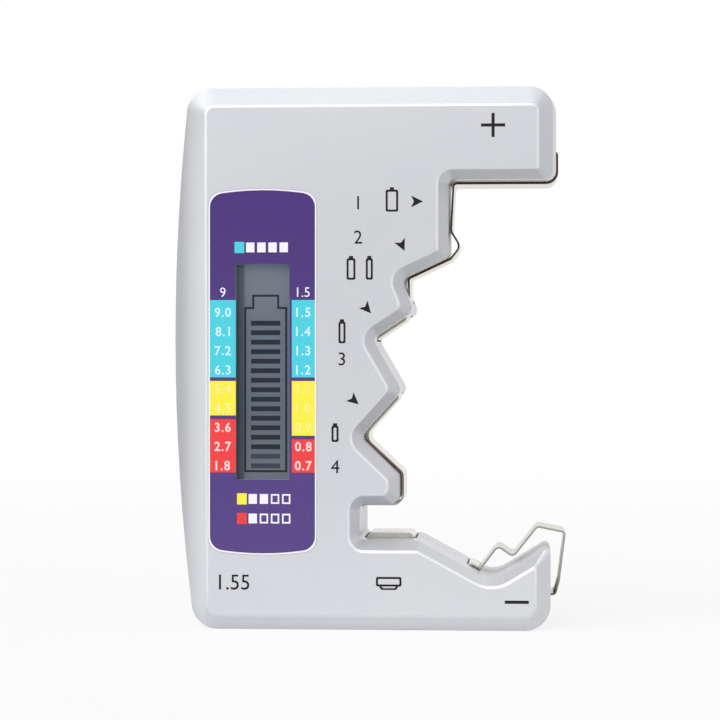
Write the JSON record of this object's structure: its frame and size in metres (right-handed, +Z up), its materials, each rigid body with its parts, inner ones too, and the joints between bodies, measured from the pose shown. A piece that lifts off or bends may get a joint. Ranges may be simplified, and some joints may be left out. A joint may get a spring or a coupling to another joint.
{
  "type": "battery tester",
  "caption": "Hand-held battery tester: C-shaped bevelled case with stepped contact notches for several cell sizes, spring contacts and a display beside printed voltage scales.",
  "frame": {"origin": "on the flat base, midway between the side walls and between front and back", "axes": "+X to the right seen from the front, +Y to the back, +Z up from the base"},
  "size_m": [0.0705, 0.0251, 0.0971],
  "materials": {
    "silver_case": "silver metallic moulded plastic, satin",
    "label_film": "printed purple film, semi-gloss",
    "display_film": "grey display polariser, smooth",
    "display_glass": "clear display glass",
    "reflector_film": "matt silver film",
    "zebra_rubber": "layered conductive rubber",
    "frame_plastic": "white moulded plastic",
    "board_laminate": "green solder-masked laminate",
    "black_resin": "matt black resin",
    "capacitor_sleeve": "dark glossy sleeve",
    "resistor_lacquer": "beige lacquer with bands",
    "nickel_strip": "bright nickel-plated strip",
    "nickel_pad": "nickel-plated riveted pad",
    "screw_steel": "zinc-plated steel",
    "red_wire": "red insulated wire",
    "black_wire": "black insulated wire"
  },
  "bodies": {
    "case_body": {"front_cover": "silver_case", "rear_cover": "silver_case", "case_screws": "screw_steel", "scale_label": "label_film", "lcd_front_polarizer": "display_film", "lcd_front_glass": "display_glass", "lcd_rear_glass": "display_glass", "lcd_reflector": "reflector_film", "zebra_strips": "zebra_rubber", "display_frame": "frame_plastic", "circuit_board": "board_laminate", "board_screws": "screw_steel", "chip_blob": "black_resin", "resistors": "black_resin", "capacitors": "capacitor_sleeve", "diode": "black_resin", "load_resistor": "resistor_lacquer", "positive_strip": "nickel_strip", "negative_strip": "nickel_strip", "nine_volt_positive_contact": "nickel_pad", "nine_volt_negative_contact": "nickel_pad", "positive_lead": "red_wire", "negative_lead": "black_wire", "nine_volt_positive_lead": "red_wire", "nine_volt_negative_lead": "black_wire"},
    "arm_body": {"spring_arm": "nickel_strip"},
    "leaf_body": {"button_cell_leaf": "nickel_strip"}
  },
  "joints": [
    {"name": "spring_arm_press", "type": "hinge", "parent": "case_body", "child": "arm_body", "pos_m": [0.01929, 0.003, 0.01046], "axis": [0, 1, 0], "range_deg": [0, 6], "stiffness_Nm_per_rad": 0.34},
    {"name": "button_leaf_press", "type": "slide", "parent": "case_body", "child": "leaf_body", "axis": [0, 0, -1], "range_m": [0, 0.0005], "stiffness_N_per_m": 2000}
  ]
}
